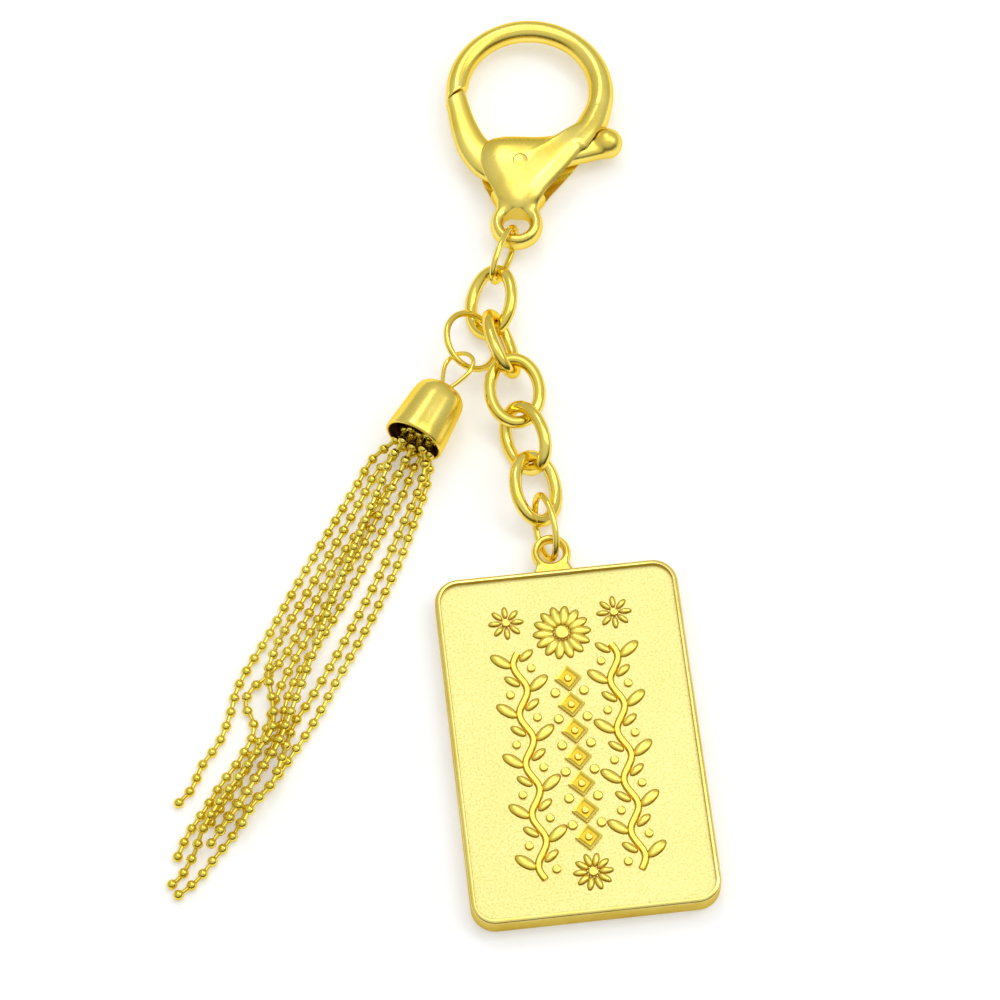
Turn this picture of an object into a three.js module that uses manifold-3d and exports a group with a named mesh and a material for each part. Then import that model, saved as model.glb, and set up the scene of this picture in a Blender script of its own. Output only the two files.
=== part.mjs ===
// Amulet keychain lying flat on a table: a lobster clasp, five oval chain links between
// two thin jump links, a cast plaque, and a ball-chain tassel hung from the first link.
// Millimetres, +Z up from the table. The origin is under the middle of the plaque, and
// +Y runs along the plaque towards the clasp.
import * as THREE from "three";
import { mergeVertices } from "three/addons/utils/BufferGeometryUtils.js";
import ManifoldModule from "manifold-3d";

const wasm = await ManifoldModule();
wasm.setup();

// Driving dimensions
const clearance = 0.3;
const plaque = { width: 36, length: 54.2, thick: 3.6, corner: 3.6, rim: 1.0, recess: 0.9, edge: 0.5 };
const bail = { hole: 1.7, outer: 2.95, thick: 2.2, height: 2.4, rise: 3.1 };
const chain = { wire: 0.95, length: 12.4, width: 9.4, seam: 0.2 };
const jump = { wire: 0.5, length: 10.8, width: 7.0, seam: 0.2 };
const clasp = { bow: 11.3, wire: 1.75, thick: 6.6, height: 3.35, slot: 3.6 };
const eyelet = { x: 0.1, y: -24.05, hole: 2.1, outer: 3.95, thick: 3.0 };
const pivot = { x: -0.2, y: -14.2, pin: 1.1, bore: 1.4 };
const thumb = { x: 12.9, y: -8.2, ball: 2.4 };
const lever = { thick: 3.0, edge: 0.8, hub: 3.2 };
const spring = { x: 2.6, foot: -18.8, coil: 0.85, wire: 0.18, pitch: 0.82, turns: 2.25 };
const ring = { wire: 0.5, radius: 4.5, seam: 0.2 };
const cap = { mouth: 4.65, shoulder: 4.15, dome: 3.0, length: 9.8, wall: 0.55, hole: 1.35 };
const eyeWire = 0.35;
const bead = { radius: 0.75, rod: 0.28, pitch: 2.4, sides: 5 };

// Where the pieces lie: headings are in degrees from +Y, anticlockwise seen from above
const claspPlace = { x: 6.0, y: 109.5, heading: -11.5 };
const topLinkPlace = { x: -1.25, y: 80.85, z: 3.6, heading: -27, pitch: -6.5, roll: 80.5 };
const linkPlaces = [
  { x: -4.1, y: 73.0, z: 3.15, heading: -9.5, pitch: 4.5, roll: -34.5 },
  { x: -3.45, y: 65.0, z: 4.45, heading: 5.5, pitch: -11, roll: 64 },
  { x: -2.35, y: 56.85, z: 4.4, heading: -2.5, pitch: 3, roll: 5 },
  { x: -1.65, y: 48.95, z: 3.9, heading: 17.5, pitch: -4, roll: -51 },
  { x: -1.05, y: 40.75, z: 3.2, heading: -4, pitch: 1.5, roll: 35.5 },
];
const bottomLinkPlace = { x: -0.4, y: 34.05, z: 3.5, heading: 5.5, pitch: 13, roll: -68.5 };
const ringPlace = { x: -7.85, y: 66.7, z: 3.1, heading: -32.5, pitch: -13.5, roll: 32 };
const capPlace = { x: -12.88, y: 58.22, z: 4.36, heading: -34, pitch: -2.5 };
const eyeRoll = -18;

const radians = THREE.MathUtils.degToRad;
const gold = (roughness) =>
  new THREE.MeshStandardMaterial({ color: 0xe6c14a, metalness: 1, roughness });
const polished = gold(0.18);
const satin = gold(0.4);
const dark = new THREE.MeshStandardMaterial({ color: 0xb9b6ae, metalness: 1, roughness: 0.35 });

// Solids for cutting and joining
function toSolid(geometry) {
  const bare = new THREE.BufferGeometry();
  bare.setAttribute("position", geometry.getAttribute("position").clone());
  if (geometry.index) bare.setIndex(geometry.index.clone());
  const merged = mergeVertices(bare, 1e-3);
  return new wasm.Manifold(
    new wasm.Mesh({
      numProp: 3,
      vertProperties: new Float32Array(merged.attributes.position.array),
      triVerts: new Uint32Array(merged.index.array),
    }),
  );
}

function toGeometry(solid) {
  const mesh = solid.getMesh();
  const geometry = new THREE.BufferGeometry();
  geometry.setAttribute("position", new THREE.BufferAttribute(mesh.vertProperties, 3));
  geometry.setIndex(new THREE.BufferAttribute(mesh.triVerts, 1));
  geometry.computeVertexNormals();
  return geometry;
}

const joined = (...geometries) => wasm.Manifold.union(geometries.map(toSolid));
const cutAway = (solid, ...geometries) => solid.subtract(wasm.Manifold.union(geometries.map(toSolid)));

// Shapes
function polygon(points) {
  return new THREE.Shape(points.map(([x, y]) => new THREE.Vector2(x, y)));
}

function smoothPoints(points, count) {
  const corners = points.map(([x, y]) => new THREE.Vector3(x, y, 0));
  return new THREE.CatmullRomCurve3(corners, true, "centripetal").getPoints(count).slice(0, -1);
}

function roundedRectangle(width, length, radius) {
  const x = width / 2;
  const y = length / 2;
  const shape = new THREE.Shape();
  shape.moveTo(x, -y + radius);
  shape.absarc(x - radius, y - radius, radius, 0, Math.PI / 2);
  shape.absarc(-x + radius, y - radius, radius, Math.PI / 2, Math.PI);
  shape.absarc(-x + radius, -y + radius, radius, Math.PI, 1.5 * Math.PI);
  shape.absarc(x - radius, -y + radius, radius, 1.5 * Math.PI, 2 * Math.PI);
  return shape;
}

// A flat piece with rounded edges, its middle at z = 0 and its outline kept at the widest
function slab(shape, thick, edge, edgeSteps, curveSegments = 6) {
  const geometry = new THREE.ExtrudeGeometry(shape, {
    depth: thick - 2 * edge.depth,
    bevelEnabled: true,
    bevelThickness: edge.depth,
    bevelSize: edge.inset,
    bevelOffset: -edge.inset,
    bevelSegments: edgeSteps,
    curveSegments,
  });
  return geometry.translate(0, 0, -(thick / 2 - edge.depth));
}

function prism(shape, low, high, curveSegments = 6) {
  const geometry = new THREE.ExtrudeGeometry(shape, { depth: high - low, bevelEnabled: false, curveSegments });
  return geometry.translate(0, 0, low);
}

function rod(x, y, low, high, radius, sides) {
  const geometry = new THREE.CylinderGeometry(radius, radius, high - low, sides);
  return geometry.rotateX(Math.PI / 2).translate(x, y, (low + high) / 2);
}

// A round wire bent along a path, with flat ends
function wire(path, radius, steps, sides) {
  const section = Array.from({ length: sides }, (_, i) => {
    const angle = (2 * Math.PI * i) / sides;
    return [radius * Math.cos(angle), radius * Math.sin(angle)];
  });
  return new THREE.ExtrudeGeometry(polygon(section), { steps, extrudePath: path, bevelEnabled: false });
}

// An oval of wire in its own plane, long axis along Y, open by a narrow seam
class OvalPath extends THREE.Curve {
  constructor(halfWidth, halfLength, seam, seamAngle) {
    super();
    Object.assign(this, { halfWidth, halfLength, seamAngle, half: seam / (2 * halfWidth) });
  }

  getPoint(t, target = new THREE.Vector3()) {
    const angle = this.seamAngle + this.half + t * 2 * (Math.PI - this.half);
    return target.set(this.halfWidth * Math.cos(angle), this.halfLength * Math.sin(angle), 0);
  }
}

class HelixPath extends THREE.Curve {
  getPoint(t, target = new THREE.Vector3()) {
    const angle = 2 * Math.PI * spring.turns * t;
    const along = spring.foot + spring.pitch * spring.turns * t;
    return target.set(spring.x + spring.coil * Math.cos(angle), along, spring.coil * Math.sin(angle));
  }
}

function oval({ wire: radius, length, width, seam }, seamAngle, steps, sides) {
  const path = new OvalPath(width / 2 - radius, length / 2 - radius, seam, seamAngle);
  return wire(path, radius, steps, sides);
}

// Rings of points skinned one after the other and closed at both ends
function loft(rings) {
  const sides = rings[0].length;
  const points = [...rings.flat()];
  const faces = [];
  for (let r = 0; r + 1 < rings.length; r += 1) {
    for (let s = 0; s < sides; s += 1) {
      const a = r * sides + s;
      const b = r * sides + ((s + 1) % sides);
      faces.push(a, b, b + sides, a, b + sides, a + sides);
    }
  }
  const last = (rings.length - 1) * sides;
  const middle = (ring) => ring.reduce((sum, p) => sum.add(p), new THREE.Vector3()).divideScalar(sides);
  points.push(middle(rings[0]), middle(rings[rings.length - 1]));
  for (let s = 0; s < sides; s += 1) {
    const next = (s + 1) % sides;
    faces.push(points.length - 2, next, s);
    faces.push(points.length - 1, last + s, last + next);
  }
  const geometry = new THREE.BufferGeometry().setFromPoints(points);
  geometry.setIndex(faces);
  geometry.computeVertexNormals();
  return geometry;
}

// A flat bar with eased edges that follows its stations in the plane and changes width on the way
function bar(stations, { thick, edge }) {
  const top = thick / 2;
  const rings = stations.map(({ x, y, half }, i) => {
    const before = stations[Math.max(i - 1, 0)];
    const after = stations[Math.min(i + 1, stations.length - 1)];
    const along = new THREE.Vector2(after.x - before.x, after.y - before.y).normalize();
    const section = [
      [half, -top + edge],
      [half, top - edge],
      [half - edge, top],
      [edge - half, top],
      [-half, top - edge],
      [-half, -top + edge],
      [edge - half, -top],
      [half - edge, -top],
    ];
    return section.map(([across, up]) => new THREE.Vector3(x - along.y * across, y + along.x * across, up));
  });
  return loft(rings);
}

// Laying the pieces out
function place(geometry, { x, y, z = 0, heading = 0, pitch = 0, roll = 0 }) {
  const turn = new THREE.Euler(radians(pitch), radians(roll), radians(heading), "ZXY");
  const matrix = new THREE.Matrix4().makeRotationFromEuler(turn).setPosition(x, y, z);
  return geometry.applyMatrix4(matrix);
}

const keychain = new THREE.Group();
keychain.name = "amulet_keychain";

function add(name, geometry, material) {
  const mesh = new THREE.Mesh(geometry, material);
  mesh.name = name;
  keychain.add(mesh);
}

// Lobster clasp: the hook, its two cheeks and the eyelet are one casting
const slit = { x: -11.2, y: -1.8, angle: Math.atan2(0.66, 0.75) };

function beyondSlit(side) {
  const block = new THREE.BoxGeometry(8, 8, 12);
  block.translate(0, side * (4 - clearance / 2), 0);
  return block.rotateZ(slit.angle).translate(slit.x, slit.y, 0);
}

function bowSolid() {
  const sides = 10;
  const stations = [];
  for (let angle = 200; angle >= -10; angle -= 15) {
    const turn = radians(angle);
    const direction = new THREE.Vector2(Math.cos(turn), Math.sin(turn));
    const swell = angle < 60 ? (60 - angle) / 70 : 0;
    stations.push({ centre: direction.clone().multiplyScalar(clasp.bow), direction, swell });
  }
  stations.push({ centre: new THREE.Vector2(9.9, -6.2), direction: new THREE.Vector2(0.86, -0.5), swell: 2.4 });
  stations.push({ centre: new THREE.Vector2(7.9, -9.4), direction: new THREE.Vector2(0.82, -0.57), swell: 3.6 });
  const rings = stations.map(({ centre, direction, swell }) =>
    Array.from({ length: sides }, (_, i) => {
      const turn = (2 * Math.PI * i) / sides;
      const across = (clasp.wire + 0.22 * swell) * Math.cos(turn);
      const up = (clasp.wire + 0.38 * swell) * Math.sin(turn);
      return new THREE.Vector3(centre.x + direction.x * across, centre.y + direction.y * across, up);
    }),
  );
  return cutAway(toSolid(loft(rings)), beyondSlit(-1));
}

function eyeletGeometry({ hole, outer, thick }, edge) {
  const half = thick / 2;
  const profile = [
    [hole, -half + edge],
    [hole + edge, -half],
    [outer - edge, -half],
    [outer, -half + edge],
    [outer, half - edge],
    [outer - edge, half],
    [hole + edge, half],
    [hole, half - edge],
    [hole, -half + edge],
  ];
  const geometry = new THREE.LatheGeometry(profile.map(([r, h]) => new THREE.Vector2(r, h)), 24);
  return geometry.rotateX(Math.PI / 2);
}

// A cushion: the outline at full size round its waist, drawn in towards its middle above and below
function cushion(outline, middle, levels) {
  const ring = ([height, scale]) =>
    outline.map(
      (p) => new THREE.Vector3(middle.x + (p.x - middle.x) * scale, middle.y + (p.y - middle.y) * scale, height),
    );
  const below = levels.map(([height, scale]) => [-height, scale]).reverse();
  return loft([...below, ...levels].map(ring));
}

const cheekOutline = smoothPoints(
  [
    [-6.9, -13.1],
    [-6.3, -15.8],
    [-4.6, -18.8],
    [-3.1, -21.0],
    [0.0, -22.6],
    [3.1, -20.9],
    [5.0, -17.8],
    [7.5, -14.1],
    [9.3, -11.1],
    [10.4, -8.7],
    [10.6, -6.8],
    [9.8, -5.3],
    [8.5, -5.4],
    [7.1, -6.9],
    [5.1, -8.1],
    [2.2, -8.7],
    [-0.8, -8.9],
    [-3.6, -9.2],
    [-5.9, -10.2],
  ],
  57,
);
const cheekLevels = [[0.9, 1], [1.75, 0.95], [2.45, 0.83], [3.0, 0.6], [clasp.thick / 2, 0.2]];
const cheeks = cushion(cheekOutline, pivot, cheekLevels);
const slotOutline = polygon([
  [-16, -19.3],
  [16, -19.3],
  [16, -4.6],
  [5.2, -9.4],
  [5.2, -7.5],
  [-16, -7.5],
]);
const claspEyelet = eyeletGeometry(eyelet, 0.8).translate(eyelet.x, eyelet.y, 0);
const claspSolid = cutAway(
  wasm.Manifold.union([bowSolid(), joined(cheeks, claspEyelet)]),
  prism(slotOutline, -clasp.slot / 2, clasp.slot / 2),
  rod(pivot.x, pivot.y, -5, 5, pivot.bore, 16),
  rod(eyelet.x, eyelet.y, -5, 5, eyelet.hole, 24),
  new THREE.SphereGeometry(thumb.ball + 0.35, 14, 10).translate(thumb.x, thumb.y, 0),
);
const onClasp = { ...claspPlace, z: clasp.height };
add("clasp_body", place(toGeometry(claspSolid), onClasp), polished);

// Lever: the gate on the left, the hub on the pin, the thumb arm and its ball on the right
const gateStations = [
  { x: -11.9, y: -0.5, half: 1.65 },
  { x: -10.4, y: -4.4, half: 1.6 },
  { x: -9.1, y: -7.6, half: 1.7 },
  { x: -7.4, y: -10.8, half: 2.0 },
  { x: -5.0, y: -13.4, half: 2.6 },
  { x: -1.8, y: -14.4, half: 3.0 },
];
const armStations = [
  { x: -1.2, y: -14.7, half: 2.6 },
  { x: 3.2, y: -12.6, half: 2.1 },
  { x: 6.5, y: -11.1, half: 1.7 },
  { x: 9.8, y: -9.7, half: 1.6 },
  { x: 12.2, y: -8.6, half: 1.45 },
];
const leverHub = rod(pivot.x, pivot.y, -lever.thick / 2, lever.thick / 2, lever.hub, 20);
const thumbBall = new THREE.SphereGeometry(thumb.ball, 14, 10).translate(thumb.x, thumb.y, 0);
const leverSolid = cutAway(
  joined(bar(gateStations, lever), bar(armStations, lever), leverHub, thumbBall),
  beyondSlit(1),
  rod(pivot.x, pivot.y, -5, 5, pivot.bore, 16),
);
add("clasp_lever", place(toGeometry(leverSolid), onClasp), satin);
add("clasp_pivot_pin", place(rod(pivot.x, pivot.y, -3.2, 3.2, pivot.pin, 16), onClasp), polished);

// Return spring: coils between the floor of the slot and the underside of the thumb arm
function leastGap(path, wireRadius, loops) {
  const points = path.getPoints(loops * 24);
  let least = Infinity;
  for (let i = 0; i < points.length; i += 1) {
    for (let j = i + 18; j < points.length; j += 1) least = Math.min(least, points[i].distanceTo(points[j]));
  }
  return least - 2 * wireRadius;
}

const helix = new HelixPath();
console.log(`clasp_spring: least gap to itself ${leastGap(helix, spring.wire, spring.turns).toFixed(2)} mm`);
const springSteps = Math.round(8 * spring.turns);
add("clasp_spring", place(wire(helix, spring.wire, springSteps, 5), onClasp), dark);

// Chain: jump link, five oval links with alternate rolls, jump link
add("top_jump_link", place(oval(jump, radians(10), 24, 6), topLinkPlace), polished);
linkPlaces.forEach((spot, index) => {
  add(`chain_link_${index + 1}`, place(oval(chain, radians(60), 28, 8), spot), polished);
});
add("bottom_jump_link", place(oval(jump, radians(190), 24, 6), bottomLinkPlace), polished);

// Plaque: a rounded tray with a raised rim, cast in one with its bail
const plaqueBlank = slab(
  roundedRectangle(plaque.width, plaque.length, plaque.corner),
  plaque.thick,
  { depth: plaque.edge, inset: plaque.edge },
  2,
).translate(0, 0, plaque.thick / 2);
const field = roundedRectangle(
  plaque.width - 2 * plaque.rim,
  plaque.length - 2 * plaque.rim,
  plaque.corner - plaque.rim,
);
const bailY = plaque.length / 2 + bail.rise;
const bailRing = eyeletGeometry({ hole: bail.hole, outer: bail.outer, thick: bail.thick }, 0.5);
bailRing.translate(0, bailY, bail.height);
const bailFoot = slab(
  polygon([[-2.4, bailY - 4], [2.4, bailY - 4], [1.7, bailY - 2.0], [-1.7, bailY - 2.0]]),
  bail.thick - 0.4,
  { depth: 0.4, inset: 0.3 },
  1,
).translate(0, 0, bail.height);
const plaqueSolid = cutAway(
  joined(plaqueBlank, bailRing, bailFoot),
  prism(field, plaque.thick - plaque.recess, plaque.thick + 2),
  rod(0, bailY, -1, 6, bail.hole, 24),
);
add("amulet_plaque", toGeometry(plaqueSolid), satin);

// Tassel: ring through the first link, eye wire, cap and ball-chain strands
const ringAcross = 2 * (ring.radius + ring.wire);
const ringSize = { wire: ring.wire, length: ringAcross, width: ringAcross, seam: ring.seam };
add("tassel_ring", place(oval(ringSize, radians(150), 28, 6), ringPlace), polished);

const eyeHalf = [[0.25, -4.6], [1.15, -3.4], [0.6, -1.6], [0.6, 0.3], [1.5, 2.2], [2.2, 4.6], [1.6, 6.4]];
const eyePoints = [...eyeHalf, [0, 7.1], ...eyeHalf.map(([x, y]) => [-x, y]).reverse()];
const eyePath = new THREE.CatmullRomCurve3(eyePoints.map(([x, y]) => new THREE.Vector3(x, y, 0)));
const eyeGeometry = wire(eyePath, eyeWire, 44, 6).rotateY(radians(eyeRoll));
add("tassel_eye_wire", place(eyeGeometry, capPlace), polished);

const inside = cap.wall;
const capProfile = [
  [cap.mouth, -cap.length],
  [cap.shoulder, -cap.dome],
  [cap.shoulder * 0.9, -cap.dome * 0.45],
  [cap.shoulder * 0.66, -cap.dome * 0.14],
  [cap.hole, 0],
  [cap.hole, -inside],
  [cap.shoulder * 0.6, -cap.dome * 0.14 - inside],
  [cap.shoulder * 0.82 - 0.1, -cap.dome * 0.5 - inside],
  [cap.shoulder - inside, -cap.dome - 0.3],
  [cap.mouth - inside, -cap.length],
  [cap.mouth, -cap.length],
];
const capGeometry = new THREE.LatheGeometry(capProfile.map(([r, h]) => new THREE.Vector2(r, h)), 20);
add("tassel_cap", place(capGeometry, capPlace), polished);

// Ball-chain strands: where each leaves the cap's mouth (across, height) and how it lies from there
const strandRoutes = [
  {
    leaves: [-2.7, 3.1],
    route: [
      [-24.6, 49.4, 1.4], [-27.5, 45.5, 0.8], [-32.7, 37.8, 0.8], [-37.9, 30.1, 0.8], [-42.9, 22.3, 0.8],
      [-48.0, 14.7, 0.8], [-49.6, 10.3, 0.8], [-51.5, 6.2, 0.8], [-54.3, 2.8, 0.8], [-56.0, -0.5, 0.8],
      [-58.9, -3.3, 0.8],
    ],
  },
  {
    leaves: [-1.4, 2.1],
    route: [
      [-24.3, 47.2, 1.0], [-27.0, 43.1, 0.8], [-32.1, 35.3, 0.8], [-37.3, 27.5, 0.8], [-39.9, 23.6, 1.0],
      [-42.1, 19.4, 2.2], [-43.4, 15.6, 2.5], [-43.2, 11.0, 2.4], [-43.5, 7.2, 2.4], [-46.0, 3.6, 2.4],
      [-49.0, 0.0, 2.4], [-52.1, -3.5, 2.4], [-54.8, -7.4, 2.4], [-56.5, -10.9, 1.4], [-58.8, -14.0, 0.8],
      [-61.0, -15.5, 0.8],
    ],
  },
  {
    leaves: [0.15, 1.7],
    route: [
      [-24.0, 43.0, 0.8], [-26.6, 39.6, 0.8], [-30.6, 34.4, 0.8], [-35.5, 27.0, 0.8], [-40.4, 19.4, 0.8],
      [-43.3, 16.1, 0.8], [-46.3, 13.8, 0.8], [-47.2, 11.6, 0.8], [-46.4, 9.4, 0.8], [-46.4, 7.2, 0.8],
      [-48.6, 3.4, 0.8], [-51.6, -0.2, 0.8], [-54.3, -3.9, 0.8], [-57.2, -7.7, 0.8], [-59.4, -11.8, 0.8],
    ],
  },
  {
    leaves: [-1.5, 4.2],
    route: [
      [-22.3, 47.8, 3.0], [-24.3, 43.9, 2.4], [-28.6, 35.3, 2.4], [-32.7, 27.0, 2.4], [-36.4, 18.6, 2.4],
      [-40.0, 10.7, 2.4], [-42.9, 4.6, 2.4], [-45.6, 0.8, 2.4], [-49.7, -4.8, 2.4], [-52.4, -8.1, 2.4],
      [-54.6, -10.8, 2.4],
    ],
  },
  {
    leaves: [0, 3.7],
    route: [
      [-20.4, 46.9, 2.7], [-22.9, 42.8, 2.1], [-25.5, 38.7, 1.3], [-28.1, 34.7, 0.8], [-31.7, 29.6, 0.8],
      [-35.9, 23.3, 0.8], [-40.9, 15.6, 0.8], [-42.8, 12.0, 0.8], [-44.3, 7.8, 0.8], [-46.5, 4.2, 0.8],
      [-48.6, 0.6, 0.8], [-52.7, -4.7, 0.8], [-54.4, -7.0, 0.8],
    ],
  },
  {
    leaves: [1.65, 2.3],
    route: [
      [-18.6, 47.2, 1.4], [-20.8, 43.1, 0.8], [-25.8, 35.2, 0.8], [-30.7, 27.4, 0.8], [-34.6, 21.7, 0.8],
      [-38.7, 16.2, 0.8], [-41.0, 12.0, 0.8], [-42.4, 7.6, 0.8], [-44.2, 4.2, 0.8], [-46.6, 0.4, 0.8],
      [-50.5, -4.5, 0.8], [-53.2, -8.2, 0.8],
    ],
  },
  {
    leaves: [1.5, 4.5],
    route: [
      [-17.0, 46.9, 3.2], [-18.5, 42.7, 2.4], [-20.9, 38.6, 1.6], [-23.9, 33.3, 0.8], [-28.3, 25.8, 0.8],
      [-33.2, 18.0, 0.8], [-38.0, 11.0, 0.8], [-40.4, 7.9, 0.8], [-41.6, 5.0, 1.4], [-42.8, 1.6, 2.4],
      [-44.5, -1.8, 2.4], [-47.6, -4.9, 2.4], [-49.8, -8.4, 2.4],
    ],
  },
  {
    leaves: [2.7, 3.5],
    route: [
      [-16.2, 47.4, 2.2], [-17.2, 44.0, 1.0], [-19.9, 37.6, 0.8], [-22.9, 31.3, 0.8], [-27.6, 23.1, 0.8],
      [-32.6, 15.4, 0.8], [-37.6, 7.6, 0.8], [-41.0, 3.2, 0.8], [-44.2, -0.8, 0.8], [-47.9, -4.1, 0.8],
      [-50.4, -8.1, 0.8], [-53.4, -11.4, 0.8], [-56.5, -14.8, 0.8], [-60.2, -17.2, 0.8],
    ],
  },
];

const capTurn = new THREE.Euler(radians(capPlace.pitch), 0, radians(capPlace.heading), "ZXY");
const capAxis = new THREE.Vector3(0, -1, 0).applyEuler(capTurn);
const capAcross = new THREE.Vector3(1, 0, 0).applyEuler(capTurn);
const mouth = new THREE.Vector3(capPlace.x, capPlace.y, capPlace.z).addScaledVector(capAxis, cap.length);

function strand({ leaves: [across, height], route }) {
  const exit = mouth.clone().addScaledVector(capAcross, across).setZ(height);
  const inside = exit.clone().addScaledVector(capAxis, -3).lerp(mouth, 0.03);
  const points = [inside, exit, ...route.map(([x, y, z]) => new THREE.Vector3(x, y, z))];
  const path = new THREE.CatmullRomCurve3(points, false, "centripetal");
  const beads = Math.round(path.getLength() / bead.pitch);
  const steps = 2 * beads;
  const spots = path.getSpacedPoints(steps);
  const frames = path.computeFrenetFrames(steps, false);
  const rings = spots.map((spot, i) => {
    const radius = i % 2 === 0 ? bead.rod : bead.radius;
    return Array.from({ length: bead.sides }, (_, side) => {
      const turn = (2 * Math.PI * side) / bead.sides;
      return spot
        .clone()
        .addScaledVector(frames.normals[i], radius * Math.cos(turn))
        .addScaledVector(frames.binormals[i], radius * Math.sin(turn));
    });
  });
  return loft(rings);
}

strandRoutes.forEach((entry, index) => {
  add(`tassel_strand_${index + 1}`, strand(entry), polished);
});

export default keychain;
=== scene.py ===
import math

import bmesh
import bpy
from mathutils import Matrix, Vector


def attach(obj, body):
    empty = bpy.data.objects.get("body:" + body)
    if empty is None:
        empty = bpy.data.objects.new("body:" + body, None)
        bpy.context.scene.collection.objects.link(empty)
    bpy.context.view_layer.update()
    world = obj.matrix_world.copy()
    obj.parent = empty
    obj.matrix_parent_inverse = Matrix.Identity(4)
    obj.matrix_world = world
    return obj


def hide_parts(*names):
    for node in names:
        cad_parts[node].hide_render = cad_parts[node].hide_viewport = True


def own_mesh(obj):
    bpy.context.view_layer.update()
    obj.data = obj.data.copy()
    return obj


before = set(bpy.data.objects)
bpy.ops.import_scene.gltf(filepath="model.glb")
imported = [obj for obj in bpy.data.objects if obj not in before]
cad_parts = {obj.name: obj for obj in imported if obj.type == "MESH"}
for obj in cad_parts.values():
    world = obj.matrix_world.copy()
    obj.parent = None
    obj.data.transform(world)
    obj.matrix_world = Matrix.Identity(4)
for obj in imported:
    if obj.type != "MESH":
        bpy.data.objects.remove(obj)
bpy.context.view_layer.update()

bl_info = {
    "name": "Amulet keychain",
    "version": (1, 0, 0),
    "blender": (4, 5, 0),
    "location": "View3D > Sidebar > Keychain",
    "description": "Models a plated amulet keychain: clasp, chain, plaque and ball-chain tassel",
    "category": "Add Mesh",
}

MM = 0.001
# Two heights that differ by less than this are level
LEVEL = 0.01 * MM
# An edge that turns by more than this, in radians, is a crease, or a slight one
CREASE = 0.8
SLIGHT_CREASE = 0.3

# Where the pieces lie, in millimetres and degrees: x, y, z, heading, pitch, roll
CLASP_PLACE = (6.0, 109.5, 3.35, -11.5, 0, 0)
LINK_PLACES = (
    (-4.1, 73.0, 3.15, -9.5, 4.5, -34.5),
    (-3.45, 65.0, 4.45, 5.5, -11, 64),
    (-2.35, 56.85, 4.4, -2.5, 3, 5),
    (-1.65, 48.95, 3.9, 17.5, -4, -51),
    (-1.05, 40.75, 3.2, -4, 1.5, 35.5),
)
TOP_JUMP_PLACE = (-1.25, 80.85, 3.6, -27, -6.5, 80.5)
BOTTOM_JUMP_PLACE = (-0.4, 34.05, 3.5, 5.5, 13, -68.5)
RING_PLACE = (-7.85, 66.7, 3.1, -32.5, -13.5, 32)
CAP_PLACE = (-12.88, 58.22, 4.36, -34, -2.5, 0)
EYE_PLACE = (*CAP_PLACE[:5], -18)

# Stage, in metres: where each lamp hangs, its width and its watts, then the camera
LAMPS = {
    "panel": ((0.06, 0.24, 1.2), 0.8, 1.35),
    "far_box": ((-0.05, 0.9, 1.12), 0.36, 1.3),
    "right_box": ((0.5, 0.33, 1.15), 0.2, 0.7),
    "side": ((0.6, 0.05, 0.7), 0.4, 0.8),
}
LAMP_AIM = (-0.01, 0.04, 0)
CAMERA_SPOT = (-0.0362, -0.2203, 0.5393)
CAMERA_AIM = (-0.0064, 0.041, 0.0)
CAMERA_LENS = 144
TABLE_WIDTH = 3.0
TABLE_DROP = 0.02 * MM
TABLE_GLOW = 0.24
SEEN_RAYS = ("Is Camera Ray", "Is Glossy Ray", "Is Transmission Ray")
# Height in the sky, and how bright the tent is there
TENT = ((0.0, 0.5), (0.35, 0.58), (0.7, 0.68), (1.0, 0.78))
DARK_CORNER = (0.03, 0.025, 0.02)

# Wire links: half the gap in a seam, in millimetres, and where the seams are, in degrees round the link
SEAM_HALF = 0.06
LINK_SEAM = 60
TOP_SEAM = 10
BOTTOM_SEAM = 190
RING_SEAM = 150

# Clasp, in millimetres in its own plane, the origin at the middle of the bow
PIVOT = (-0.2, -14.2)
EYELET = (0.1, -24.05)
EYELET_RING = 3.02
EYELET_WALL = 1.06
EYELET_BORE = 2.1
# How many times as tall as wide the eyelet's section is
EYELET_STRETCH = 1.55
THUMB = (12.9, -8.2)
THUMB_RADIUS = 2.4
THUMB_ROOM = 0.35
PIN_RADIUS = 1.1
PIN_LENGTH = 6.5
PIN_ROUND = 0.1
CHEEK_BORE = 1.14
HUB_RADIUS = 3.2
HUB_BORE = 1.4
LEVER_THICK = 3.0
# The lever's domed section: how full it is, where 2 is an ellipse, and its number of points
LEVER_FULLNESS = 2.7
SECTION_POINTS = 20
# Length of a cutter that passes right through the clasp
THROUGH = 12
# The slit between bow and gate: its middle, its direction, its gap and the block that cuts it
SLIT = (-11.2, -1.8)
SLIT_ANGLE = math.atan2(0.66, 0.75)
SLIT_GAP = 0.3
SLIT_BLOCK = 8
# The bow's arc in degrees, its tail, and how it swells towards the tail
BOW_START = 200
BOW_END = -10
BOW_STEP = 5
BOW_TAIL = ((9.9, -6.2, 0), (7.9, -9.4, 0))
SWELL_START = 60
SWELL = 0.3
TAIL_SWELL = 2.6
CHEEK_OUTLINE = [
    (-6.9, -13.1), (-6.3, -15.8), (-4.6, -18.8), (-3.1, -21.0), (0.0, -22.6), (3.1, -20.9), (5.0, -17.8),
    (7.5, -14.1), (9.3, -11.1), (10.4, -8.7), (10.6, -6.8), (9.8, -5.3), (8.5, -5.4), (7.1, -6.9),
    (5.1, -8.1), (2.2, -8.7), (-0.8, -8.9), (-3.6, -9.2), (-5.9, -10.2),
]
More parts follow.
